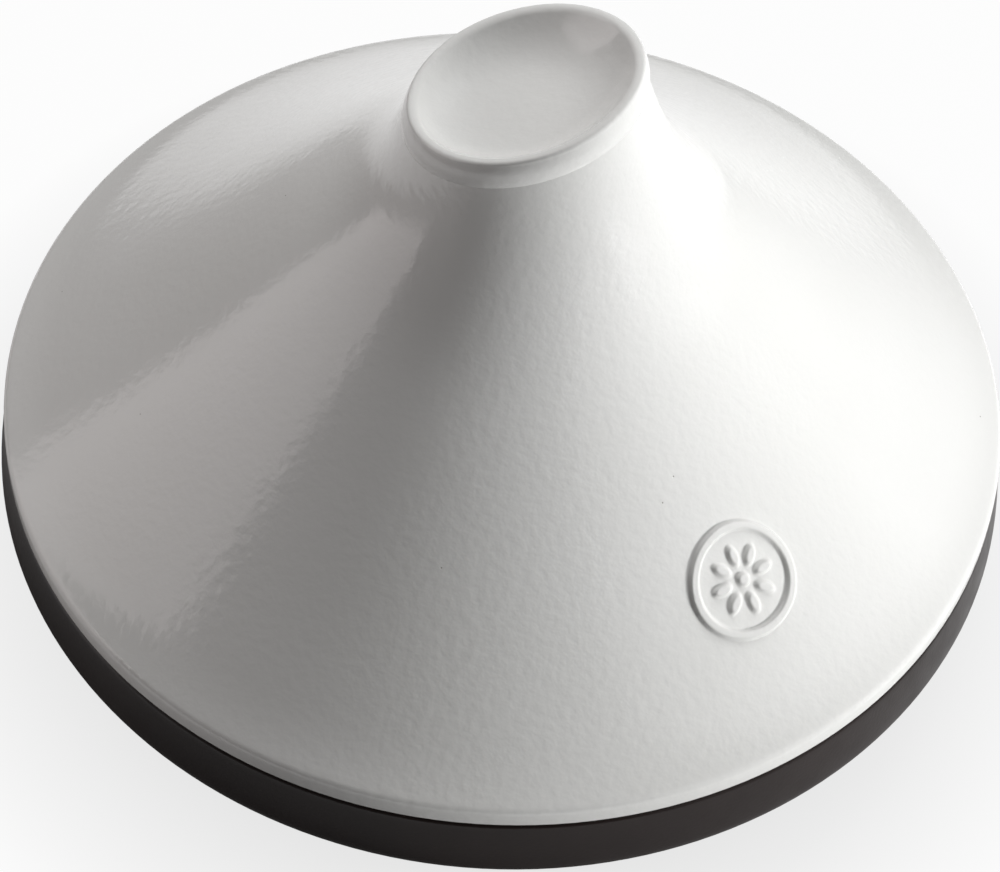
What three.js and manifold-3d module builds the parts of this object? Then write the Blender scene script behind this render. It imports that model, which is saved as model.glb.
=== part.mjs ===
// A two-piece ceramic tagine in millimetres, +Z up, standing on the plane z = 0.
// A shallow dark base dish carries a white conical lid, which lifts straight off.
// The lid's knob is sliced at a slant: its low side faces -X and its high side faces +X.
import * as THREE from "three";
import { mergeVertices } from "three/addons/utils/BufferGeometryUtils.js";
import Module from "manifold-3d";

// Base dish
const BASE_RADIUS = 160.5; // at the belly, where it is widest
const BASE_HEIGHT = 56; // from the foot to the rim face
const BASE_WALL = 7.5; // at the rim
const BASE_FLOOR = 7.5;
const BELLY_HEIGHT = 38.3;
const BELLY_SHARE = 0.31; // of the bowl's depth below the belly, how far its wall keeps upright
const BOTTOM_SHARE = 0.41; // of the bowl's reach past its floor, how far its bottom keeps level
const FLOOR_RADIUS = 112; // edge of the flat floor inside
const RIM_INSET = 2.1; // from the belly in to the rim
const RIM_LEAN = THREE.MathUtils.degToRad(11); // of the wall below the rim, from the vertical
const RIM_ROUND = 2;
const MOUTH_ROUND = 1.2;
const FOOT_RADIUS = 105; // outer edge of the foot ring
const FOOT_WIDTH = 9;
const FOOT_HEIGHT = 2;
const FOOT_ROUND = 0.8;

// Lid edge, and the skirt that centres the lid in the mouth of the base
const EDGE_HEIGHT = 5.3; // upright part of the edge
const EDGE_FOOT_ROUND = 1.2;
const EDGE_TOP_ROUND = 3;
const SEAT_GAP = 0.3; // between the lid's resting face and the rim face
const SKIRT_CLEARANCE = 1.5; // all round, inside the mouth
const SKIRT_WIDTH = 5;
const SKIRT_DEPTH = 6;

// Lid cone: heights are above the lid's resting face, slopes are from the horizontal
const LID_WALL = 7;
const EDGE_SLOPE = THREE.MathUtils.degToRad(28);
const FLARE_WIDTH = 14.5; // the flare eases the flank out to the edge
const FLARE_RISE = 9.5;
const FLARE_SLOPE = THREE.MathUtils.degToRad(38); // where it meets the flank
const NECK_START_RADIUS = 70;
const NECK_START_HEIGHT = 83;
const FLANK_SLOPE = THREE.MathUtils.degToRad(44); // where it meets the neck
const NECK_SLOPE = THREE.MathUtils.degToRad(74); // where it meets the knob
const TANGENT_SHARE = 0.36; // of a curve's chord, how far each end keeps its slope
const HOLLOW_SHARE = 0.7; // of the neck's curve, up to where the hollow's dome starts

// Knob: a short bulging collar with a flat-topped lip round a thumb dish
const KNOB_RADIUS = 34.3; // outer edge of the lip
const KNOB_LEAN = 11.2; // how far the slant raises the +X side and lowers the -X side
const LIP_HEIGHT = 149.2; // top of the lip, halfway up the slant
const LIP_WIDTH = 3.7; // from its outer edge in to the dish
const LIP_ROUND = 1.2; // of its outer edge
const LIP_DROP = 1.2; // from its top down to the edge of the dish
const COLLAR_HEIGHT = 8.9; // from the crease to the top of the lip
const COLLAR_SPREAD = 1; // from the lip out to the crease
const COLLAR_BULGE = 0.6;
const DISH_DEPTH = 11.2; // below the top of the lip
const DISH_POWER = 4; // the higher, the flatter the dish's floor
const CROWN_WALL = 8; // between the dish and the hollow below it

// Medallion: a raised ring round a rosette, on the flank
const MEDALLION_AZIMUTH = THREE.MathUtils.degToRad(-35.7); // from +X
const MEDALLION_RISE = 32.7; // up the flank from the flare
const RING_DIAMETER = 36.4; // outside
const RING_WIDTH = 3.6;
const RELIEF = 1.2; // proud of the flank
const PETAL_COUNT = 8;
const PETAL_LENGTH = 8;
const PETAL_WIDTH = 4.2;
const PETAL_DISTANCE = 7.6; // centre of the rosette to the middle of a petal
const BOSS_DIAMETER = 5.2;

// Fineness of the mesh
const TURN_STEPS = 64;
const ROUND_STEPS = 3;
const CURVE_STEPS = 5;
const FLARE_STEPS = 3;
const WALL_STEPS = 8;
const RING_STEPS = 36;
const RELIEF_STEPS = 6;
const HALVINGS = 40;

// Sizes that follow from those above
const RIM_RADIUS = BASE_RADIUS - RIM_INSET;
const MOUTH_RADIUS = RIM_RADIUS - BASE_WALL;
const LID_RADIUS = RIM_RADIUS;
const SKIRT_RADIUS = MOUTH_RADIUS - SKIRT_CLEARANCE;
const SKIRT_INNER_RADIUS = SKIRT_RADIUS - SKIRT_WIDTH;
const CREASE_RADIUS = KNOB_RADIUS + COLLAR_SPREAD;
const DISH_RADIUS = KNOB_RADIUS - LIP_WIDTH;
const QUARTER = Math.PI / 2;

const wasm = await Module();
wasm.setup();

// A point of a profile: x is its radius and y is its height.
function at(radius, height) {
  return new THREE.Vector2(radius, height);
}

// Points of a profile along an elliptical arc, from one angle to another.
function arc(centre, radiusX, radiusY, from, to, steps) {
  const backwards = to < from;
  const curve = new THREE.EllipseCurve(centre.x, centre.y, radiusX, radiusY, from, to, backwards);
  return curve.getPoints(steps);
}

function roundArc(radius, height, size, from, to) {
  return arc(at(radius, height), size, size, from, to, ROUND_STEPS);
}

// A curve up the lid that leaves one point and reaches another at given slopes.
function slopingCurve(from, fromSlope, to, toSlope) {
  const pull = TANGENT_SHARE * from.distanceTo(to);
  const leave = at(from.x - pull * Math.cos(fromSlope), from.y + pull * Math.sin(fromSlope));
  const arrive = at(to.x + pull * Math.cos(toSlope), to.y - pull * Math.sin(toSlope));
  return new THREE.CubicBezierCurve(from, leave, arrive, to);
}

// The point one lid wall inside a curve of the lid's outer face.
function insideOf(curve, share) {
  const point = curve.getPoint(share);
  const tangent = curve.getTangent(share);
  return at(point.x - LID_WALL * tangent.y, point.y + LID_WALL * tangent.x);
}

// The share of a curve at which its inside face comes in to a radius, found by halving.
function shareAtInsideRadius(curve, radius) {
  let low = 0;
  let high = 1;
  for (let i = 0; i < HALVINGS; i++) {
    const middle = (low + high) / 2;
    if (insideOf(curve, middle).x > radius) low = middle;
    else high = middle;
  }
  return high;
}

// A closed mesh as a solid, without the empty triangles that a lathe has on its axis.
function solidOf(geometry) {
  const bare = new THREE.BufferGeometry();
  bare.setAttribute("position", geometry.getAttribute("position"));
  bare.setIndex(geometry.getIndex());
  const merged = mergeVertices(bare);
  const corners = merged.getIndex().array;
  const kept = [];
  for (let i = 0; i < corners.length; i += 3) {
    const [a, b, c] = corners.slice(i, i + 3);
    if (a !== b && b !== c && c !== a) kept.push(a, b, c);
  }
  const vertProperties = merged.getAttribute("position").array;
  const triVerts = new Uint32Array(kept);
  return new wasm.Manifold(new wasm.Mesh({ numProp: 3, vertProperties, triVerts }));
}

function geometryOf(solid) {
  const mesh = solid.getMesh();
  const geometry = new THREE.BufferGeometry();
  geometry.setAttribute("position", new THREE.BufferAttribute(mesh.vertProperties, 3));
  geometry.setIndex(new THREE.BufferAttribute(mesh.triVerts, 1));
  geometry.computeVertexNormals();
  return geometry;
}

// The curve of a bowl, from the edge of its flat floor out and up to its upright wall.
function bowl(floorEdge, belly) {
  const level = THREE.MathUtils.lerp(floorEdge.x, belly.x, BOTTOM_SHARE);
  const upright = THREE.MathUtils.lerp(belly.y, floorEdge.y, BELLY_SHARE);
  return new THREE.CubicBezierCurve(floorEdge, at(level, floorEdge.y), at(belly.x, upright), belly);
}

// The base dish: foot ring, bowl with a belly, wall that leans in to the flat rim, and flat floor.
function baseDishGeometry() {
  const footInner = FOOT_RADIUS - FOOT_WIDTH;
  const belly = at(BASE_RADIUS, BELLY_HEIGHT);
  const rimMiddle = at(RIM_RADIUS - RIM_ROUND * Math.cos(RIM_LEAN), BASE_HEIGHT - RIM_ROUND);
  const wallTop = at(RIM_RADIUS, rimMiddle.y + RIM_ROUND * Math.sin(RIM_LEAN));
  const wallBend = at(BASE_RADIUS, wallTop.y - RIM_INSET / Math.tan(RIM_LEAN));
  const wall = new THREE.QuadraticBezierCurve(belly, wallBend, wallTop);
  const outside = bowl(at(FOOT_RADIUS, FOOT_HEIGHT), belly);
  const inside = bowl(at(FLOOR_RADIUS, FOOT_HEIGHT + BASE_FLOOR), at(MOUTH_RADIUS, BELLY_HEIGHT));
  const profile = [
    at(0, FOOT_HEIGHT),
    at(footInner, FOOT_HEIGHT),
    ...roundArc(footInner + FOOT_ROUND, FOOT_ROUND, FOOT_ROUND, -2 * QUARTER, -QUARTER),
    ...roundArc(FOOT_RADIUS - FOOT_ROUND, FOOT_ROUND, FOOT_ROUND, -QUARTER, 0),
    ...outside.getPoints(WALL_STEPS),
    ...wall.getPoints(CURVE_STEPS).slice(1),
    ...roundArc(rimMiddle.x, rimMiddle.y, RIM_ROUND, RIM_LEAN, QUARTER).slice(1),
    ...roundArc(MOUTH_RADIUS + MOUTH_ROUND, BASE_HEIGHT - MOUTH_ROUND, MOUTH_ROUND, QUARTER, 2 * QUARTER),
    ...inside.getPoints(WALL_STEPS).reverse(),
    at(0, FOOT_HEIGHT + BASE_FLOOR),
  ];
  return new THREE.LatheGeometry(profile, TURN_STEPS).rotateX(QUARTER);
}

// The three curves of the lid's outer face: up the flare from the edge, up the flank, then up the neck.
const edgeTop = at(
  LID_RADIUS - EDGE_TOP_ROUND * (1 - Math.sin(EDGE_SLOPE)),
  EDGE_HEIGHT + EDGE_TOP_ROUND * Math.cos(EDGE_SLOPE),
);
const flareTop = at(edgeTop.x - FLARE_WIDTH, edgeTop.y + FLARE_RISE);
const neckStart = at(NECK_START_RADIUS, NECK_START_HEIGHT);
const crease = at(CREASE_RADIUS, LIP_HEIGHT - COLLAR_HEIGHT);
const flare = slopingCurve(edgeTop, EDGE_SLOPE, flareTop, FLARE_SLOPE);
const flank = slopingCurve(flareTop, FLARE_SLOPE, neckStart, FLANK_SLOPE);
const neck = slopingCurve(neckStart, FLANK_SLOPE, crease, NECK_SLOPE);

// How much of the knob's lean the neck has taken on: none where it starts, all of it at the crease.
function neckLean(share) {
  return KNOB_LEAN * THREE.MathUtils.smoothstep(share, 0, 1);
}

// A station is a profile point and its lean: how far it is raised towards +X and lowered towards -X.
function station(point, lean) {
  return { point, lean };
}

// The hollow under the lid, from its top on the axis down to the skirt.
function hollowStations() {
  const domeFoot = insideOf(neck, HOLLOW_SHARE);
  const domeRise = LIP_HEIGHT - DISH_DEPTH - CROWN_WALL - domeFoot.y;
  const domeLean = neckLean(HOLLOW_SHARE) / domeFoot.x;
  const dome = arc(at(0, domeFoot.y), domeFoot.x, domeRise, QUARTER, 0, CURVE_STEPS);
  const stations = dome.map((point) => station(point, point.x * domeLean));
  for (let i = CURVE_STEPS - 1; i >= 0; i--) {
    const share = (HOLLOW_SHARE * i) / CURVE_STEPS;
    stations.push(station(insideOf(neck, share), neckLean(share)));
  }
  for (let i = CURVE_STEPS - 1; i >= 0; i--) {
    stations.push(station(insideOf(flank, i / CURVE_STEPS), 0));
  }
  const lowest = shareAtInsideRadius(flare, SKIRT_INNER_RADIUS);
  stations.push(station(insideOf(flare, lowest), 0));
  return stations;
}

// The skirt, the flat resting face and the rounded edge of the lid.
function edgeStations() {
  const skirtRound = SKIRT_WIDTH / 2;
  const skirtMiddle = at(SKIRT_RADIUS - skirtRound, skirtRound - SKIRT_DEPTH);
  const edgeFoot = LID_RADIUS - EDGE_FOOT_ROUND;
  const points = [
    ...arc(skirtMiddle, skirtRound, skirtRound, -2 * QUARTER, 0, 2 * ROUND_STEPS),
    at(SKIRT_RADIUS, 0),
    ...roundArc(edgeFoot, EDGE_FOOT_ROUND, EDGE_FOOT_ROUND, -QUARTER, 0),
    ...roundArc(LID_RADIUS - EDGE_TOP_ROUND, EDGE_HEIGHT, EDGE_TOP_ROUND, 0, QUARTER - EDGE_SLOPE),
  ];
  return points.map((point) => station(point, 0));
}

// The flare, the flank and the neck, above the edge.
function coneStations() {
  const stations = [];
  for (let i = 1; i <= FLARE_STEPS; i++) {
    stations.push(station(flare.getPoint(i / FLARE_STEPS), 0));
  }
  for (let i = 1; i <= CURVE_STEPS; i++) {
    stations.push(station(flank.getPoint(i / CURVE_STEPS), 0));
  }
  for (let i = 1; i <= CURVE_STEPS; i++) {
    const share = i / CURVE_STEPS;
    stations.push(station(neck.getPoint(share), neckLean(share)));
  }
  return stations;
}

// The collar, the lip and the thumb dish, which all lean; the dish's lean fades out to its middle.
function knobStations() {
  const lipOuter = at(KNOB_RADIUS, LIP_HEIGHT - LIP_ROUND);
  const lipTop = at(KNOB_RADIUS - LIP_ROUND, LIP_HEIGHT);
  const dishEdge = at(DISH_RADIUS, LIP_HEIGHT - LIP_DROP);
  const dishFloor = LIP_HEIGHT - DISH_DEPTH;
  const dishSlope = (DISH_POWER * (dishEdge.y - dishFloor)) / DISH_RADIUS;
  const lipBend = at(DISH_RADIUS + LIP_DROP / dishSlope, LIP_HEIGHT);
  const lipInside = new THREE.QuadraticBezierCurve(lipTop, lipBend, dishEdge);
  const bulge = at((crease.x + lipOuter.x) / 2 + 2 * COLLAR_BULGE, (crease.y + lipOuter.y) / 2);
  const collar = new THREE.QuadraticBezierCurve(crease, bulge, lipOuter).getPoints(CURVE_STEPS);
  const points = [
    ...collar.slice(1),
    ...roundArc(lipTop.x, lipOuter.y, LIP_ROUND, 0, QUARTER).slice(1),
    ...lipInside.getPoints(ROUND_STEPS).slice(1),
  ];
  const stations = points.map((point) => station(point, KNOB_LEAN));
  for (let i = CURVE_STEPS - 1; i >= 0; i--) {
    const share = i / CURVE_STEPS;
    const height = THREE.MathUtils.lerp(dishFloor, dishEdge.y, share ** DISH_POWER);
    stations.push(station(at(DISH_RADIUS * share, height), KNOB_LEAN * share));
  }
  return stations;
}

// The lid's body: a lathe whose stations are then raised towards +X and lowered towards -X.
function lidBodyGeometry() {
  const stations = [...hollowStations(), ...edgeStations(), ...coneStations(), ...knobStations()];
  const profile = stations.map((each) => each.point);
  const geometry = new THREE.LatheGeometry(profile, TURN_STEPS);
  const position = geometry.getAttribute("position");
  for (let i = 0; i < position.count; i++) {
    const { point, lean } = stations[i % stations.length];
    const turn = (2 * Math.PI * Math.floor(i / stations.length)) / TURN_STEPS;
    position.setY(i, point.y + lean * Math.sin(turn));
  }
  return geometry.rotateX(QUARTER);
}

// Lays a flat shape on the flank: x goes round the lid, y goes up it and z stands out of it.
function laidOnFlank(geometry) {
  const length = flank.getLength();
  const middleRadius = flank.getPointAt(MEDALLION_RISE / length).x;
  const position = geometry.getAttribute("position");
  for (let i = 0; i < position.count; i++) {
    const share = (MEDALLION_RISE + position.getY(i)) / length;
    const point = flank.getPointAt(share);
    const tangent = flank.getTangentAt(share);
    const radius = point.x + position.getZ(i) * tangent.y;
    const height = point.y - position.getZ(i) * tangent.x;
    const azimuth = MEDALLION_AZIMUTH + position.getX(i) / middleRadius;
    position.setXYZ(i, radius * Math.cos(azimuth), radius * Math.sin(azimuth), height);
  }
  return geometry;
}

// The medallion's raised pieces: half of each stands out of the flank.
function medallionGeometries() {
  const tube = RING_WIDTH / 2;
  const ring = new THREE.TorusGeometry(RING_DIAMETER / 2 - tube, tube, RELIEF_STEPS, RING_STEPS);
  const boss = new THREE.SphereGeometry(BOSS_DIAMETER / 2, 2 * RELIEF_STEPS, RELIEF_STEPS);
  const pieces = [
    ring.scale(1, 1, RELIEF / tube),
    boss.scale(1, 1, RELIEF / (BOSS_DIAMETER / 2)),
  ];
  for (let i = 0; i < PETAL_COUNT; i++) {
    const petal = new THREE.SphereGeometry(1, RELIEF_STEPS, RELIEF_STEPS);
    petal.scale(PETAL_WIDTH / 2, PETAL_LENGTH / 2, RELIEF);
    petal.translate(0, PETAL_DISTANCE, 0);
    petal.rotateZ((2 * Math.PI * i) / PETAL_COUNT);
    pieces.push(petal);
  }
  return pieces.map(laidOnFlank);
}

// The whole lid is one moulded piece.
function lidGeometry() {
  let lid = solidOf(lidBodyGeometry());
  for (const piece of medallionGeometries()) {
    lid = lid.add(solidOf(piece));
  }
  return geometryOf(lid);
}

const darkGlaze = new THREE.MeshStandardMaterial({ color: 0x2a2523, roughness: 0.42, metalness: 0 });
const whiteGlaze = new THREE.MeshStandardMaterial({ color: 0xeeedea, roughness: 0.25, metalness: 0 });

const base = new THREE.Mesh(baseDishGeometry(), darkGlaze);
base.name = "base_dish";

const lid = new THREE.Mesh(lidGeometry(), whiteGlaze);
lid.name = "lid";
lid.position.z = BASE_HEIGHT + SEAT_GAP;

const tagine = new THREE.Group();
tagine.add(base, lid);

export default tagine;
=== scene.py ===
# Looks of a two-piece ceramic tagine, in metres, +Z up, standing on the plane z = 0.
# A white conical lid with a slanted, dished knob sits on a shallow dark base dish.
import math

import bpy
import numpy as np
from mathutils import Matrix, Vector


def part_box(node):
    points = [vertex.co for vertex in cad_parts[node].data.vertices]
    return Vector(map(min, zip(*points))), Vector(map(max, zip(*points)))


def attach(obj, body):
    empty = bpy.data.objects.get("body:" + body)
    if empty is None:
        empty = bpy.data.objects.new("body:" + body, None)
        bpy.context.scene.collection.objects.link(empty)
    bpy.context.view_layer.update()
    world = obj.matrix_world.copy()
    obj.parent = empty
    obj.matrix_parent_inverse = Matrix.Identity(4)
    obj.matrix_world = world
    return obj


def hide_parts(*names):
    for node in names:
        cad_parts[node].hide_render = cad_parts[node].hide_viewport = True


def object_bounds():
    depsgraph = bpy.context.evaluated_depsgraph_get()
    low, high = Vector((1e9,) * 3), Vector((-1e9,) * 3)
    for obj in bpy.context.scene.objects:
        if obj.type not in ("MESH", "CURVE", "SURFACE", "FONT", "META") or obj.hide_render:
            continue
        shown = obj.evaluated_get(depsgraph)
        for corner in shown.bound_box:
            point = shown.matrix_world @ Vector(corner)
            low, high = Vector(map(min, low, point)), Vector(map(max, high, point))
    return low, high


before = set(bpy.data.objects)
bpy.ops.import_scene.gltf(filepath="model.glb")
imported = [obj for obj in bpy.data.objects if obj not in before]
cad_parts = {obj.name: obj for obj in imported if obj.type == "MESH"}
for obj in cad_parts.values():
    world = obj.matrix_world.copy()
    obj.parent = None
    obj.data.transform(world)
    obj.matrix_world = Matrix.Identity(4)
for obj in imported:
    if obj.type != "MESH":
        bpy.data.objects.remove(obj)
cad_low, cad_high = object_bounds()
dish_low, dish_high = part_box("base_dish")
lid_low, lid_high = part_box("lid")

# Base dish
BASE_RADIUS = dish_high.x
BASE_HEIGHT = dish_high.z
BASE_WALL = 0.0075
BASE_FLOOR = 0.0075
BELLY_HEIGHT = 0.0383
BELLY_SHARE = 0.31
BOTTOM_SHARE = 0.41
FLOOR_RADIUS = 0.112
RIM_LEAN = math.radians(11)
RIM_ROUND = 0.002
MOUTH_ROUND = 0.0012
FOOT_RADIUS = 0.105
FOOT_WIDTH = 0.009
FOOT_HEIGHT = 0.002
FOOT_ROUND = 0.0008

# Lid edge and skirt
LID_RADIUS = lid_high.x
EDGE_HEIGHT = 0.0053
EDGE_FOOT_ROUND = 0.0012
EDGE_TOP_ROUND = 0.003
SKIRT_CLEARANCE = 0.0015
SKIRT_WIDTH = 0.005
SKIRT_DEPTH = 0.006

# Lid cone: heights are above the lid's resting face, slopes are from the horizontal
LID_WALL = 0.007
EDGE_SLOPE = math.radians(28)
FLARE_WIDTH = 0.0145
FLARE_RISE = 0.0095
FLARE_SLOPE = math.radians(38)
NECK_START = np.array((0.070, 0.083))
FLANK_SLOPE = math.radians(44)
NECK_SLOPE = math.radians(74)
TANGENT_SHARE = 0.36
HOLLOW_SHARE = 0.7

# Knob
KNOB_RADIUS = 0.0343
KNOB_LEAN = 0.0112
LIP_HEIGHT = 0.1492
LIP_WIDTH = 0.0037
LIP_ROUND = 0.0012
LIP_DROP = 0.0012
COLLAR_HEIGHT = 0.0089
COLLAR_SPREAD = 0.001
COLLAR_BULGE = 0.0006
DISH_DEPTH = 0.0112
DISH_POWER = 4
CROWN_WALL = 0.008

# Medallion
MEDALLION_AZIMUTH = math.radians(-35.7)
MEDALLION_RISE = 0.0327
RING_DIAMETER = 0.0364
RING_WIDTH = 0.0036
RELIEF = 0.0012
SOFT_EDGE = 0.45
PETAL_COUNT = 8
PETAL_LENGTH = 0.008
PETAL_WIDTH = 0.0042
PETAL_DISTANCE = 0.0076
BOSS_DIAMETER = 0.0052
MEDALLION_MARGIN = 0.001

# Fineness of the meshes
DISH_TURNS = 180
LID_TURNS = 160
FINE_STEP = 0.00042
FLANK_STEP = 0.0022
CURVE_ROWS = 40
WALL_ROWS = 12
FLARE_ROWS = 16
KNOB_ROWS = 14
ROUND_ROWS = 6
LENGTH_SAMPLES = 400

# Camera
CAMERA_AZIMUTH = math.radians(15)
CAMERA_ELEVATION = math.radians(51.38)
CAMERA_ROLL = math.radians(3.90)
CAMERA_DISTANCE = 1.185
CAMERA_PIVOT_HEIGHT = 0.05675
CAMERA_AIM = Vector((0.00297, -0.01297, CAMERA_PIVOT_HEIGHT))
CAMERA_LENS = 133.5
SENSOR_WIDTH = 36

# White glaze: patterns are counted per metre, heights are in metres
WHITE_TINT = (0.87, 0.87, 0.855)
WHITE_SHADE = (0.84, 0.84, 0.82)
WHITE_CLOUDS = 9
RIPPLES = 45
RIPPLE_HEIGHT = 0.00006
PEEL_GRAINS = 300
PEEL_HEIGHT = 0.00014
WHITE_PATCHES = 60
WHITE_ROUGHNESS = (0.13, 0.18)

# Pinholes, where the seed of a cell lies at the surface: their floor and edge are shares of a cell
PINHOLE_CELLS = 60
PINHOLE_FLOOR = 0.012
PINHOLE_EDGE = 0.02
PINHOLE_DEPTH = 0.0001
PINHOLE_COLOUR = (0.45, 0.43, 0.40)

# Dark glaze
DARK_TINT = (0.0165, 0.0102, 0.0092)
DARK_SHADE = (0.0125, 0.0078, 0.007)
DARK_CLOUDS = 30
DARK_GRAINS = 900
DARK_GRAIN_HEIGHT = 0.00004
DARK_PATCHES = 120
DARK_ROUGHNESS = (0.30, 0.38)
DARK_INDEX = 1.4

# Bare clay
DARK_CLAY = ((0.19, 0.155, 0.13), (0.13, 0.105, 0.09))
WHITE_CLAY = ((0.72, 0.66, 0.58), (0.62, 0.56, 0.48))
CLAY_SPECKS = 500
CLAY_GRAINS = 1600
CLAY_GRAIN_HEIGHT = 0.00012
CLAY_ROUGHNESS = 0.85

# Noise: how finely it is broken up, and the parts of its range that a pattern uses
FINE_DETAIL = 4
PLAIN_DETAIL = 2
NARROW_NOISE = (0.35, 0.65)
WIDE_NOISE = (0.3, 0.7)

# Floor: the camera and reflections see it lifted to this share of white
FLOOR_HALF = 10.0
FLOOR_COLOUR = (0.4, 0.4, 0.4, 1)
FLOOR_ROUGHNESS = 0.9
FLOOR_LIFT = 0.97

# The camera sees it lifted less beside the foot: painted shade round the foot, where the real shadow
# shows too
CONTACT_LIFT = 0.7
CONTACT_REACH = 0.215

# Reflections see the lift grow with the distance from a painted shadow patch off to the front-left, where
# the grey floor's own shade shows through, and end where a white sheet would
SHADOW_CENTRE = (-0.04, -0.06, 0)
SHADOW_START = 0.13
SHADOW_REACH = 0.3
SHEET_START = 0.46
SHEET_END = 0.58

# World: its light on the object; to the camera it is as white as the floor
WORLD_LEVEL = 0.035

# Sizes that follow from those above
SEAT_HEIGHT = lid_low.z + SKIRT_DEPTH
RIM_RADIUS = LID_RADIUS
MOUTH_RADIUS = RIM_RADIUS - BASE_WALL
SKIRT_RADIUS = MOUTH_RADIUS - SKIRT_CLEARANCE
SKIRT_INNER_RADIUS = SKIRT_RADIUS - SKIRT_WIDTH
CREASE_RADIUS = KNOB_RADIUS + COLLAR_SPREAD
DISH_RADIUS = KNOB_RADIUS - LIP_WIDTH
MEDALLION_REACH = RING_DIAMETER / 2 + MEDALLION_MARGIN
QUARTER = math.pi / 2


def elliptic_arc(radius, height, size_x, size_y, start, end, rows):
    """Profile points on an elliptic arc, as rows of radius and height."""
    turn = np.linspace(start, end, rows + 1)
    return np.column_stack((radius + size_x * np.cos(turn), height + size_y * np.sin(turn)))


def round_arc(radius, height, size, start, end):
    return elliptic_arc(radius, height, size, size, start, end, ROUND_ROWS)


def sloping_curve(start, start_slope, end, end_slope):
    """The corners of a cubic curve up the lid that leaves and arrives at given slopes."""
    pull = TANGENT_SHARE * np.linalg.norm(end - start)
    leave = start + pull * np.array((-math.cos(start_slope), math.sin(start_slope)))
    arrive = end - pull * np.array((-math.cos(end_slope), math.sin(end_slope)))
    return np.array((start, leave, arrive, end))


def curve_points(corners, shares):
    """Points of a cubic curve and its directions there."""
    share = np.asarray(shares)[:, None]
    rest = 1 - share
    start, leave, arrive, end = corners
    points = rest**3 * start + 3 * rest**2 * share * leave
    points += 3 * rest * share**2 * arrive
    points += share**3 * end
    ways = rest**2 * (leave - start) + 2 * rest * share * (arrive - leave) + share**2 * (end - arrive)
    return points, ways / np.linalg.norm(ways, axis=1, keepdims=True)


def inside_points(corners, shares):
    """Points one lid wall inside a curve of the lid's outer face."""
    points, ways = curve_points(corners, shares)
    return points + LID_WALL * np.column_stack((-ways[:, 1], ways[:, 0]))


def with_lean(points, leans):
    """Rows of radius, height and lean: how far a row is raised towards +X and lowered towards -X."""
    return np.column_stack((points, np.broadcast_to(leans, len(points))))


edge_top = np.array((
    LID_RADIUS - EDGE_TOP_ROUND * (1 - math.sin(EDGE_SLOPE)),
    EDGE_HEIGHT + EDGE_TOP_ROUND * math.cos(EDGE_SLOPE),
))
flare_top = edge_top + np.array((-FLARE_WIDTH, FLARE_RISE))
crease = np.array((CREASE_RADIUS, LIP_HEIGHT - COLLAR_HEIGHT))
flare = sloping_curve(edge_top, EDGE_SLOPE, flare_top, FLARE_SLOPE)
flank = sloping_curve(flare_top, FLARE_SLOPE, NECK_START, FLANK_SLOPE)
neck = sloping_curve(NECK_START, FLANK_SLOPE, crease, NECK_SLOPE)


def neck_lean(shares):
    """How much of the knob's lean the neck has taken on."""
    return KNOB_LEAN * shares**2 * (3 - 2 * shares)


def skin(name, points, materials, bare_rows=()):
    """A closed skin from a grid of points, whose first and last rows are each one point on the axis."""
    rows, turns = points.shape[:2]
    corners = [tuple(points[0, 0])]
    corners += [tuple(place) for place in points[1:-1].reshape(-1, 3)]
    corners.append(tuple(points[-1, 0]))

    def index(row, turn):
        if row == 0:
            return 0
        if row == rows - 1:
            return len(corners) - 1
        return 1 + (row - 1) * turns + turn % turns

    faces = []
    slots = []
    for row in range(rows - 1):
        for turn in range(turns):
            around = [index(row, turn), index(row, turn + 1)]
            around += [index(row + 1, turn + 1), index(row + 1, turn)]
            faces.append(tuple(dict.fromkeys(around)))
            slots.append(1 if row in bare_rows else 0)
    mesh = bpy.data.meshes.new(name)
    mesh.from_pydata(corners, [], faces)
    for material in materials:
        mesh.materials.append(material)
    mesh.polygons.foreach_set("material_index", slots)
    mesh.shade_smooth()
    piece = bpy.data.objects.new(name, mesh)
    bpy.context.scene.collection.objects.link(piece)
    return piece


def bowl(floor_edge, belly):
    """The corners of a bowl's curve, from the edge of its flat floor out and up to its upright wall."""
    level = floor_edge[0] + BOTTOM_SHARE * (belly[0] - floor_edge[0])
    upright = belly[1] + BELLY_SHARE * (floor_edge[1] - belly[1])
    return np.array((floor_edge, (level, floor_edge[1]), (belly[0], upright), belly))


def bent_curve(start, bend, end, rows):
    """A curve that bends once, without its first point."""
    share = np.linspace(0, 1, rows + 1)[1:, None]
    rest = 1 - share
    return rest**2 * np.array(start) + 2 * rest * share * np.array(bend) + share**2 * np.array(end)


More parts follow.
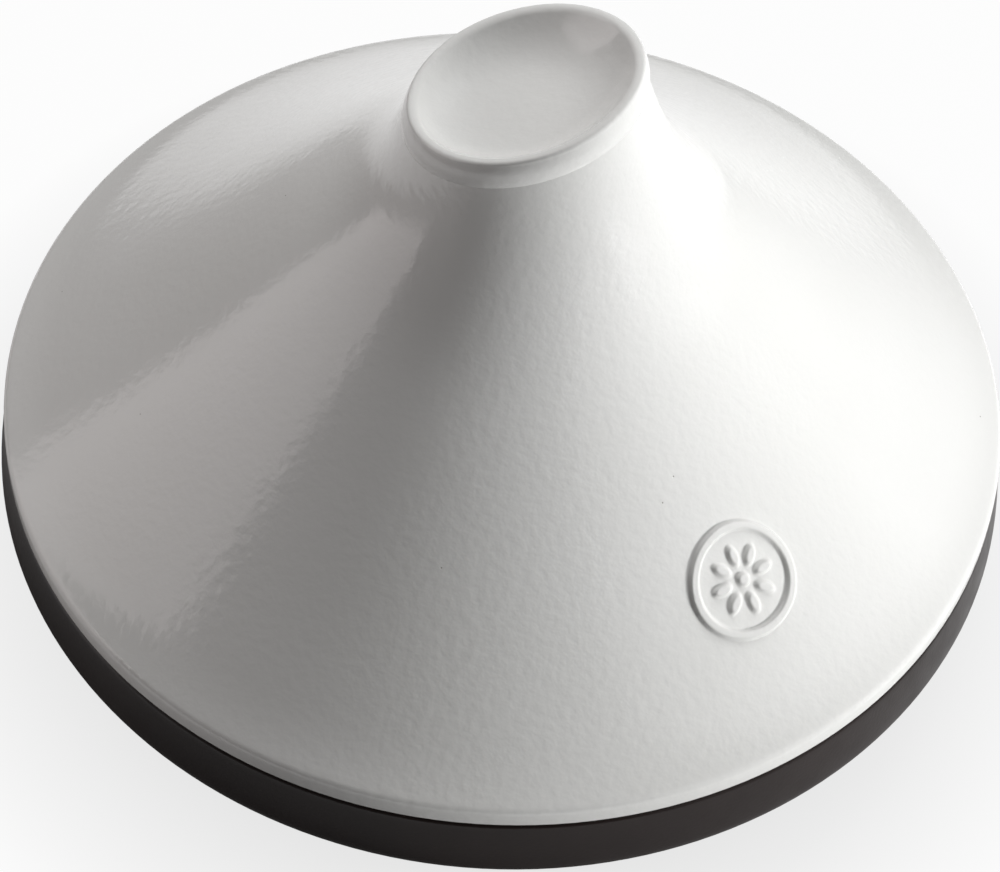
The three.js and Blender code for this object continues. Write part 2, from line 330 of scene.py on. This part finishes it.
def dish_rows():
    """The dish's profile, from under its middle round the rim to its floor, and which rows are bare."""
    foot_inner = FOOT_RADIUS - FOOT_WIDTH
    floor_height = FOOT_HEIGHT + BASE_FLOOR
    belly = (BASE_RADIUS, BELLY_HEIGHT)
    rim_middle = (RIM_RADIUS - RIM_ROUND * math.cos(RIM_LEAN), BASE_HEIGHT - RIM_ROUND)
    mouth_middle = (MOUTH_RADIUS + MOUTH_ROUND, BASE_HEIGHT - MOUTH_ROUND)
    wall_top = (RIM_RADIUS, rim_middle[1] + RIM_ROUND * math.sin(RIM_LEAN))
    wall_bend = (BASE_RADIUS, wall_top[1] - (BASE_RADIUS - RIM_RADIUS) / math.tan(RIM_LEAN))
    shares = np.linspace(0, 1, CURVE_ROWS)
    under = np.column_stack((np.linspace(0, foot_inner, CURVE_ROWS), np.full(CURVE_ROWS, FOOT_HEIGHT)))
    foot = np.vstack((
        round_arc(foot_inner + FOOT_ROUND, FOOT_ROUND, FOOT_ROUND, -2 * QUARTER, -QUARTER),
        round_arc(FOOT_RADIUS - FOOT_ROUND, FOOT_ROUND, FOOT_ROUND, -QUARTER, 0),
    ))
    outside, _ = curve_points(bowl((FOOT_RADIUS, FOOT_HEIGHT), belly), shares)
    rim = np.vstack((
        round_arc(*rim_middle, RIM_ROUND, RIM_LEAN, QUARTER)[1:],
        round_arc(*mouth_middle, MOUTH_ROUND, QUARTER, 2 * QUARTER),
    ))
    hollow = bowl((FLOOR_RADIUS, floor_height), (MOUTH_RADIUS, BELLY_HEIGHT))
    inside, _ = curve_points(hollow, shares[::-1])
    floor_radii = np.linspace(FLOOR_RADIUS, 0, CURVE_ROWS)[1:]
    floor = np.column_stack((floor_radii, np.full(len(floor_radii), floor_height)))
    bare = range(len(under), len(under) + len(foot))
    wall = bent_curve(belly, wall_bend, wall_top, WALL_ROWS)
    return np.vstack((under, foot, outside, wall, rim, inside, floor)), bare


def make_dish(materials):
    rows, bare = dish_rows()
    turns = np.linspace(0, 2 * math.pi, DISH_TURNS, endpoint=False)
    radius = rows[:, :1]
    height = np.repeat(rows[:, 1:2], DISH_TURNS, axis=1)
    points = np.stack((radius * np.cos(turns), radius * np.sin(turns), height), axis=2)
    return skin("dark_dish", points, materials, bare)


def hollow_rows():
    """The hollow under the lid, from its top on the axis down to the skirt."""
    shares = np.linspace(HOLLOW_SHARE, 0, CURVE_ROWS)
    neck_part = inside_points(neck, shares)
    dome_radius, dome_foot = neck_part[0]
    dome_rise = LIP_HEIGHT - DISH_DEPTH - CROWN_WALL - dome_foot
    dome = elliptic_arc(0, dome_foot, dome_radius, dome_rise, QUARTER, 0, KNOB_ROWS)[:-1]
    dome_lean = neck_lean(HOLLOW_SHARE) / dome_radius
    flank_part = inside_points(flank, np.linspace(1, 0, CURVE_ROWS))[1:]
    flare_part = inside_points(flare, np.linspace(1, 0, CURVE_ROWS))[1:]
    flare_part = flare_part[flare_part[:, 0] < SKIRT_INNER_RADIUS]
    return np.vstack((
        with_lean(dome, dome[:, 0] * dome_lean),
        with_lean(neck_part, neck_lean(shares)),
        with_lean(flank_part, 0),
        with_lean(flare_part, 0),
    ))


def edge_rows():
    """The skirt, the flat resting face, the rounded edge and the flare of the lid."""
    skirt_round = SKIRT_WIDTH / 2
    flare_part, _ = curve_points(flare, np.linspace(0, 1, FLARE_ROWS)[:-1])
    points = np.vstack((
        elliptic_arc(
            SKIRT_RADIUS - skirt_round, skirt_round - SKIRT_DEPTH, skirt_round, skirt_round,
            -2 * QUARTER, 0, 2 * ROUND_ROWS,
        ),
        (SKIRT_RADIUS, 0),
        round_arc(LID_RADIUS - EDGE_FOOT_ROUND, EDGE_FOOT_ROUND, EDGE_FOOT_ROUND, -QUARTER, 0),
        round_arc(LID_RADIUS - EDGE_TOP_ROUND, EDGE_HEIGHT, EDGE_TOP_ROUND, 0, QUARTER - EDGE_SLOPE)[:-1],
        flare_part,
    ))
    return with_lean(points, 0)


def flank_rises():
    """How far up the flank its rows lie, closer together across the medallion."""
    samples, _ = curve_points(flank, np.linspace(0, 1, LENGTH_SAMPLES))
    steps = np.linalg.norm(np.diff(samples, axis=0), axis=1)
    lengths = np.concatenate(([0], np.cumsum(steps)))
    low = MEDALLION_RISE - MEDALLION_REACH
    high = MEDALLION_RISE + MEDALLION_REACH
    rises = np.concatenate((
        np.linspace(0, low, round(low / FLANK_STEP), endpoint=False),
        np.linspace(low, high, round((high - low) / FINE_STEP), endpoint=False),
        np.linspace(high, lengths[-1], round((lengths[-1] - high) / FLANK_STEP)),
    ))
    return rises, np.interp(rises, lengths, np.linspace(0, 1, LENGTH_SAMPLES))


def lid_turns(middle_radius):
    """Turns round the lid, closer together across the medallion."""
    reach = MEDALLION_REACH / middle_radius
    fine_count = round(2 * MEDALLION_REACH / FINE_STEP)
    fine = np.linspace(-reach, reach, fine_count, endpoint=False)
    coarse = np.linspace(reach, 2 * math.pi - reach, LID_TURNS, endpoint=False)
    return MEDALLION_AZIMUTH + np.concatenate((fine, coarse))


def soft_step(distance):
    """Height of a raised form: 1 inside, 0 from its outline on, with a soft edge between."""
    share = np.clip((1 - distance) / SOFT_EDGE, 0, 1)
    return share**2 * (3 - 2 * share)


def medallion_height(across, up):
    """How far the medallion stands out of the flank: a ring round a boss with petals."""
    distance = np.hypot(across, up)
    ring = soft_step(np.abs(distance - (RING_DIAMETER - RING_WIDTH) / 2) / (RING_WIDTH / 2))
    boss = soft_step(distance / (BOSS_DIAMETER / 2))
    spacing = 2 * math.pi / PETAL_COUNT
    turn = np.arctan2(across, up)
    turn -= spacing * np.round(turn / spacing)
    along = (distance * np.cos(turn) - PETAL_DISTANCE) / (PETAL_LENGTH / 2)
    aside = distance * np.sin(turn) / (PETAL_WIDTH / 2)
    petals = soft_step(np.hypot(along, aside))
    return RELIEF * np.maximum(ring, np.maximum(boss, petals))


def flank_grid(turns, rises, shares, middle_radius):
    """Radius and height over the flank, with the medallion raised on it."""
    points, ways = curve_points(flank, shares)
    away = np.mod(turns - MEDALLION_AZIMUTH + math.pi, 2 * math.pi) - math.pi
    across, up = np.meshgrid(away * middle_radius, rises - MEDALLION_RISE)
    proud = medallion_height(across, up)
    radius = points[:, :1] + proud * ways[:, 1:]
    height = points[:, 1:] - proud * ways[:, :1]
    return radius, height


def closer_at_ends(rows):
    """Shares from 0 to 1 that lie closer together at both ends, where a crease has to stay crisp."""
    return (1 - np.cos(np.linspace(0, math.pi, rows + 1))) / 2


def knob_rows():
    """The collar, the lip and the thumb dish, which lean; the dish's lean fades out to its middle."""
    lip_foot = LIP_HEIGHT - LIP_ROUND
    lip_top = KNOB_RADIUS - LIP_ROUND
    dish_edge = LIP_HEIGHT - LIP_DROP
    dish_floor = LIP_HEIGHT - DISH_DEPTH
    dish_slope = DISH_POWER * (dish_edge - dish_floor) / DISH_RADIUS
    lip_bend = DISH_RADIUS + LIP_DROP / dish_slope
    share = closer_at_ends(KNOB_ROWS)[1:]
    collar = np.column_stack((
        crease[0] + (KNOB_RADIUS - crease[0]) * share + 4 * COLLAR_BULGE * share * (1 - share),
        crease[1] + (lip_foot - crease[1]) * share,
    ))
    outside = round_arc(lip_top, lip_foot, LIP_ROUND, 0, QUARTER)[1:]
    inside = bent_curve(
        (lip_top, LIP_HEIGHT), (lip_bend, LIP_HEIGHT), (DISH_RADIUS, dish_edge), 2 * ROUND_ROWS
    )
    rim = np.vstack((collar, outside, inside))
    inward = np.linspace(1, 0, 2 * KNOB_ROWS)[1:]
    dish = np.column_stack((
        DISH_RADIUS * inward,
        dish_floor + (dish_edge - dish_floor) * inward**DISH_POWER,
    ))
    return np.vstack((with_lean(rim, KNOB_LEAN), with_lean(dish, KNOB_LEAN * inward)))


def leaning_grid(rows, turns):
    """Radius and height over rows that lean with the knob."""
    radius = np.repeat(rows[:, :1], len(turns), axis=1)
    height = rows[:, 1:2] + rows[:, 2:] * np.cos(turns)
    return radius, height


def make_lid(materials):
    rises, shares = flank_rises()
    middle_share = np.interp(MEDALLION_RISE, rises, shares)
    middle_radius = curve_points(flank, [middle_share])[0][0, 0]
    turns = lid_turns(middle_radius)
    neck_shares = closer_at_ends(CURVE_ROWS)[1:]
    neck_points, _ = curve_points(neck, neck_shares)
    hollow = hollow_rows()
    edge = edge_rows()
    grids = [
        leaning_grid(hollow, turns),
        leaning_grid(edge, turns),
        flank_grid(turns, rises, shares, middle_radius),
        leaning_grid(with_lean(neck_points, neck_lean(neck_shares)), turns),
        leaning_grid(knob_rows(), turns),
    ]
    radius = np.vstack([grid[0] for grid in grids])
    height = np.vstack([grid[1] for grid in grids]) + SEAT_HEIGHT
    points = np.stack((radius * np.cos(turns), radius * np.sin(turns), height), axis=2)
    seat_row = len(hollow) + 2 * ROUND_ROWS + 1
    return skin("white_lid", points, materials, (seat_row,))


class Shader:
    """A material's nodes, with one Principled shader."""

    def __init__(self, name):
        self.material = bpy.data.materials.new(name)
        self.material.use_nodes = True
        self.tree = self.material.node_tree
        self.surface = next(node for node in self.tree.nodes if node.type == "BSDF_PRINCIPLED")
        self.place = self.tree.nodes.new("ShaderNodeTexCoord").outputs["Object"]

    def add(self, kind, output, **values):
        """One output of a new node whose inputs are set to values or linked to other nodes."""
        node = self.tree.nodes.new(kind)
        for label, value in values.items():
            self.set(node, label.replace("_", " "), value)
        return node.outputs[output]

    def set(self, node, label, value):
        if isinstance(value, bpy.types.NodeSocket):
            self.tree.links.new(value, node.inputs[label])
        else:
            node.inputs[label].default_value = value

    def finish(self, **values):
        for label, value in values.items():
            self.set(self.surface, label.replace("_", " "), value)
        return self.material

    def math(self, operation, first, second):
        node = self.tree.nodes.new("ShaderNodeMath")
        node.operation = operation
        for place, value in enumerate((first, second)):
            self.set(node, place, value)
        return node.outputs[0]

    def distance(self, centre):
        node = self.tree.nodes.new("ShaderNodeVectorMath")
        node.operation = "DISTANCE"
        self.set(node, 0, self.place)
        self.set(node, 1, centre)
        return node.outputs["Value"]

    def noise(self, scale, detail=PLAIN_DETAIL):
        return self.add("ShaderNodeTexNoise", "Fac", Vector=self.place, Scale=scale, Detail=detail)

    def span(self, value, low, high, to_low, to_high):
        """Value taken from one range to another, held at its ends."""
        return self.add(
            "ShaderNodeMapRange", "Result", Value=value,
            From_Min=low, From_Max=high, To_Min=to_low, To_Max=to_high,
        )

    def blend(self, share, first, second):
        node = self.tree.nodes.new("ShaderNodeMix")
        node.data_type = "RGBA"
        factor = next(socket for socket in node.inputs if socket.identifier == "Factor_Float")
        colours = [socket for socket in node.inputs if socket.type == "RGBA"]
        self.tree.links.new(share, factor)
        for socket, colour in zip(colours, (first, second)):
            if isinstance(colour, bpy.types.NodeSocket):
                self.tree.links.new(colour, socket)
            else:
                socket.default_value = (*colour, 1)
        return next(socket for socket in node.outputs if socket.type == "RGBA")

    def bump(self, height, distance, below=None):
        """A bump of a real height, in metres, over another bump or the plain surface."""
        values = {"Height": height, "Distance": distance, "Strength": 1.0}
        if below is not None:
            values["Normal"] = below
        return self.add("ShaderNodeBump", "Normal", **values)


def white_glaze():
    """Glossy white glaze: soft ripples, fine orange peel and a few pinholes."""
    shader = Shader("white_glaze")
    cloud = shader.span(shader.noise(WHITE_CLOUDS), *NARROW_NOISE, 0, 1)
    seeds = shader.add("ShaderNodeTexVoronoi", "Distance", Vector=shader.place, Scale=PINHOLE_CELLS)
    pinhole = shader.span(seeds, PINHOLE_FLOOR, PINHOLE_EDGE, 1, 0)
    tint = shader.blend(cloud, WHITE_TINT, WHITE_SHADE)
    colour = shader.blend(pinhole, tint, PINHOLE_COLOUR)
    ripple = shader.bump(shader.noise(RIPPLES), RIPPLE_HEIGHT)
    peel = shader.bump(shader.noise(PEEL_GRAINS), PEEL_HEIGHT, ripple)
    holes = shader.bump(shader.span(pinhole, 0, 1, 1, 0), PINHOLE_DEPTH, peel)
    patches = shader.noise(WHITE_PATCHES, FINE_DETAIL)
    roughness = shader.span(patches, *WIDE_NOISE, *WHITE_ROUGHNESS)
    return shader.finish(Base_Color=colour, Roughness=roughness, Normal=holes)


def dark_glaze():
    """Satin brown-black glaze with a fine grain."""
    shader = Shader("dark_glaze")
    cloud = shader.span(shader.noise(DARK_CLOUDS, FINE_DETAIL), *WIDE_NOISE, 0, 1)
    colour = shader.blend(cloud, DARK_TINT, DARK_SHADE)
    grain = shader.bump(shader.noise(DARK_GRAINS), DARK_GRAIN_HEIGHT)
    patches = shader.noise(DARK_PATCHES, FINE_DETAIL)
    roughness = shader.span(patches, *WIDE_NOISE, *DARK_ROUGHNESS)
    return shader.finish(Base_Color=colour, Roughness=roughness, IOR=DARK_INDEX, Normal=grain)


def bare_clay(name, tints):
    """Unglazed clay, where a piece stands in the kiln."""
    shader = Shader(name)
    specks = shader.span(shader.noise(CLAY_SPECKS, FINE_DETAIL), *NARROW_NOISE, 0, 1)
    colour = shader.blend(specks, *tints)
    grain = shader.bump(shader.noise(CLAY_GRAINS, FINE_DETAIL), CLAY_GRAIN_HEIGHT)
    return shader.finish(Base_Color=colour, Roughness=CLAY_ROUGHNESS, Normal=grain)


def make_floor():
    """A grey floor that looks white to the camera and in reflections, but keeps the object's shadow, with
    painted shade round the foot and a painted shadow patch in reflections.
    """
    corners = [(-FLOOR_HALF, -FLOOR_HALF, 0), (FLOOR_HALF, -FLOOR_HALF, 0)]
    corners += [(FLOOR_HALF, FLOOR_HALF, 0), (-FLOOR_HALF, FLOOR_HALF, 0)]
    mesh = bpy.data.meshes.new("floor")
    mesh.from_pydata(corners, [], [(0, 1, 2, 3)])
    shader = Shader("studio_floor")
    mesh.materials.append(shader.finish(Base_Color=FLOOR_COLOUR, Roughness=FLOOR_ROUGHNESS))
    tree = shader.tree
    rays = tree.nodes.new("ShaderNodeLightPath").outputs
    mirrored = shader.math("MAXIMUM", rays["Is Glossy Ray"], rays["Is Transmission Ray"])
    # Painted shadow patch for reflections round SHADOW_CENTRE, over the floor's real shade, ending at the
    # sheet's edge
    away = shader.distance(SHADOW_CENTRE)
    mirrored = shader.math("MULTIPLY", mirrored, shader.span(away, SHADOW_START, SHADOW_REACH, 0, 1))
    mirrored = shader.math("MULTIPLY", mirrored, shader.span(away, SHEET_START, SHEET_END, 1, 0))
    # Painted shade in a ring round the foot, over the real shadow there
    lift = shader.span(shader.distance((0, 0, 0)), FOOT_RADIUS, CONTACT_REACH, CONTACT_LIFT, 1)
    direct = shader.math("MULTIPLY", rays["Is Camera Ray"], lift)
    seen = shader.math("MAXIMUM", direct, mirrored)
    white = tree.nodes.new("ShaderNodeEmission")
    mix = tree.nodes.new("ShaderNodeMixShader")
    output = next(node for node in tree.nodes if node.type == "OUTPUT_MATERIAL")
    tree.links.new(shader.math("MULTIPLY", seen, FLOOR_LIFT), mix.inputs[0])
    tree.links.new(shader.surface.outputs[0], mix.inputs[1])
    tree.links.new(white.outputs[0], mix.inputs[2])
    tree.links.new(mix.outputs[0], output.inputs["Surface"])
    floor = bpy.data.objects.new("floor", mesh)
    bpy.context.scene.collection.objects.link(floor)


def direction(azimuth, elevation):
    """The way from the object to something seen from it at that azimuth and elevation."""
    flat = math.cos(elevation)
    return Vector((math.sin(azimuth) * flat, -math.cos(azimuth) * flat, math.sin(elevation)))


def make_lamp(name, azimuth, elevation, distance, size, watts, mirrored=True, tint=(1, 1, 1)):
    """A soft box aimed at the object, from an azimuth counted from the -Y side towards +X."""
    lamp = bpy.data.lights.new(name, "AREA")
    lamp.shape = "RECTANGLE"
    lamp.size = size[0]
    lamp.size_y = size[1]
    lamp.energy = watts
    lamp.color = tint
    holder = bpy.data.objects.new(name, lamp)
    way = direction(math.radians(azimuth), math.radians(elevation))
    holder.location = Vector((0, 0, cad_high.z / 2)) + way * distance
    holder.rotation_mode = "QUATERNION"
    holder.rotation_quaternion = way.to_track_quat("Z", "Y")
    holder.visible_camera = False
    holder.visible_glossy = mirrored
    bpy.context.scene.collection.objects.link(holder)


def make_lights():
    """A wide and a low box at the right, a warmer one at the left and a small one high at the back."""
    make_lamp("right_box", azimuth=85, elevation=22, distance=1.4, size=(2.0, 1.2), watts=4.2)
    make_lamp(
        "left_box", azimuth=-75, elevation=14.5, distance=1.3, size=(0.95, 0.9), watts=4.6,
        tint=(1, 0.94, 0.93),
    )
    make_lamp(
        "low_box", azimuth=83, elevation=1, distance=1.4, size=(0.4, 0.2), watts=14.9,
        mirrored=False,
    )
    make_lamp(
        "top_box", azimuth=160, elevation=57, distance=0.6, size=(0.45, 0.35), watts=2.5,
        mirrored=False,
    )


def make_world():
    """A dim world that looks as white as the floor to the camera alone."""
    world = bpy.data.worlds.new("studio")
    world.use_nodes = True
    sky = next(node for node in world.node_tree.nodes if node.type == "BACKGROUND")
    sky.inputs["Color"].default_value = (1, 1, 1, 1)
    rays = world.node_tree.nodes.new("ShaderNodeLightPath").outputs
    level = world.node_tree.nodes.new("ShaderNodeMapRange")
    level.inputs["To Min"].default_value = WORLD_LEVEL
    level.inputs["To Max"].default_value = FLOOR_LIFT
    world.node_tree.links.new(rays["Is Camera Ray"], level.inputs["Value"])
    world.node_tree.links.new(level.outputs["Result"], sky.inputs["Strength"])
    bpy.context.scene.world = world


def make_camera():
    """The camera stands where the photograph was taken from."""
    camera = bpy.data.cameras.new("camera")
    camera.sensor_width = SENSOR_WIDTH
    camera.lens = CAMERA_LENS
    holder = bpy.data.objects.new("camera", camera)
    place = Vector((0, 0, CAMERA_PIVOT_HEIGHT))
    place += CAMERA_DISTANCE * direction(CAMERA_AZIMUTH, CAMERA_ELEVATION)
    look = (CAMERA_AIM - place).normalized()
    level = look.cross(Vector((0, 0, 1))).normalized()
    upright = level.cross(look)
    right = math.cos(CAMERA_ROLL) * level + math.sin(CAMERA_ROLL) * upright
    up = math.cos(CAMERA_ROLL) * upright - math.sin(CAMERA_ROLL) * level
    turn = Matrix((right, up, -look)).transposed().to_4x4()
    holder.matrix_world = Matrix.Translation(place) @ turn
    bpy.context.scene.collection.objects.link(holder)
    bpy.context.scene.camera = holder


dish = make_dish([dark_glaze(), bare_clay("dark_clay", DARK_CLAY)])
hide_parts("base_dish")
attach(dish, "base")

lid = make_lid([white_glaze(), bare_clay("white_clay", WHITE_CLAY)])
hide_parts("lid")
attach(lid, "lid")

make_floor()
make_lights()
make_world()
make_camera()
bpy.context.scene.view_settings.view_transform = "Standard"
